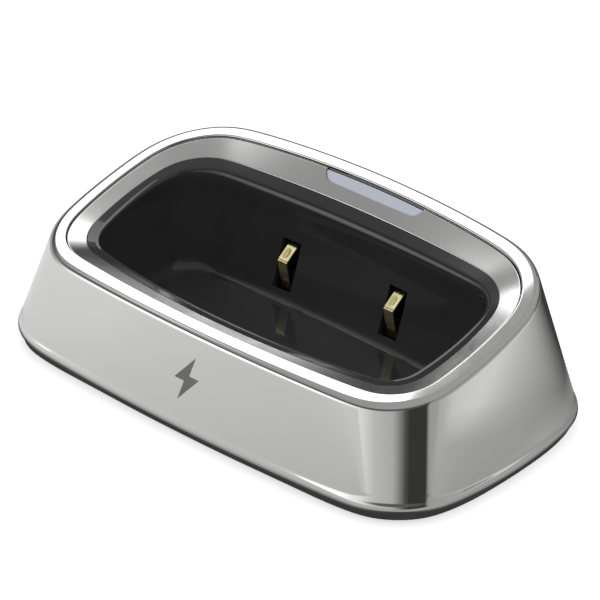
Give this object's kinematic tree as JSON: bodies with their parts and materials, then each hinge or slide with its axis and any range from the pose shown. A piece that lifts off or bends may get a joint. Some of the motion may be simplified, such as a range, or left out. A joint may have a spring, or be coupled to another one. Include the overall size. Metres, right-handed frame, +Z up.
{
  "type": "desktop charging cradle",
  "caption": "Low plated desk cradle with a raked top, a gloss black pocket for a pocket handset, sprung charging contacts, a status window and a rear power socket.",
  "frame": {"origin": "centre of the base outline at desk level, on the underside of the non-slip pad", "axes": "+X along the length to the right of the low front wall, +Y from the low front wall to the high back wall with the socket, +Z up"},
  "size_m": [0.0894, 0.053, 0.0282],
  "materials": {
    "chrome_plate": "bright chrome-type plating over moulded plastic, faint handling haze",
    "gloss_black": "piano-black gloss ABS",
    "window_diffuser": "translucent pale diffuser, satin",
    "mark_ink": "dark grey inlay",
    "gold_plate": "gold flash over sprung phosphor bronze",
    "black_nylon": "glass-filled nylon",
    "zinc_steel": "zinc plated steel",
    "tinned_copper": "tin plated copper alloy",
    "circuit_board": "green solder resist on glass-epoxy laminate",
    "chip_epoxy": "moulded epoxy",
    "ferrite": "sintered ferrite",
    "capacitor_can": "drawn aluminium can",
    "tin_steel": "tin plated folded steel",
    "clear_acrylic": "clear moulded acrylic",
    "lamp_lens": "epoxy lamp body",
    "black_foam": "closed-cell foam",
    "base_abs": "fine-textured black ABS",
    "pad_rubber": "soft non-slip sheet",
    "label_film": "blank silver-grey film",
    "black_screw": "black zinc steel",
    "tape_film": "double-sided tape"
  },
  "bodies": {
    "cradle": {"outer_shell": "chrome_plate", "inner_bezel": "chrome_plate", "cradle_insert": "gloss_black", "status_window": "window_diffuser", "front_mark": "mark_ink", "contact_block": "black_nylon", "contact_block_screws": "zinc_steel", "contact_terminals": "tinned_copper", "main_board": "circuit_board", "charge_chip": "chip_epoxy", "inductor": "ferrite", "capacitors": "capacitor_can", "resistors": "chip_epoxy", "board_screws": "zinc_steel", "socket_shell": "tin_steel", "socket_tongue": "black_nylon", "socket_pins": "gold_plate", "light_guide": "clear_acrylic", "status_lamps": "lamp_lens", "light_shroud": "black_foam", "base_tray": "base_abs", "non_slip_pad": "pad_rubber", "blank_label": "label_film", "base_screws": "black_screw", "ballast_tape": "tape_film", "ballast_plate": "zinc_steel"},
    "left_contact_spring": {"contact_left": "gold_plate"},
    "right_contact_spring": {"contact_right": "gold_plate"}
  },
  "joints": [
    {"name": "left_contact_flex", "type": "hinge", "parent": "cradle", "child": "left_contact_spring", "pos_m": [-0.011, 0.0126, 0.0053], "axis": [-1, 0, 0], "range_deg": [0, 12], "stiffness_Nm_per_rad": 0.05, "springref_deg": -6.88},
    {"name": "right_contact_flex", "type": "hinge", "parent": "cradle", "child": "right_contact_spring", "pos_m": [0.011, 0.0126, 0.0053], "axis": [-1, 0, 0], "range_deg": [0, 12], "stiffness_Nm_per_rad": 0.05, "springref_deg": -6.88}
  ]
}
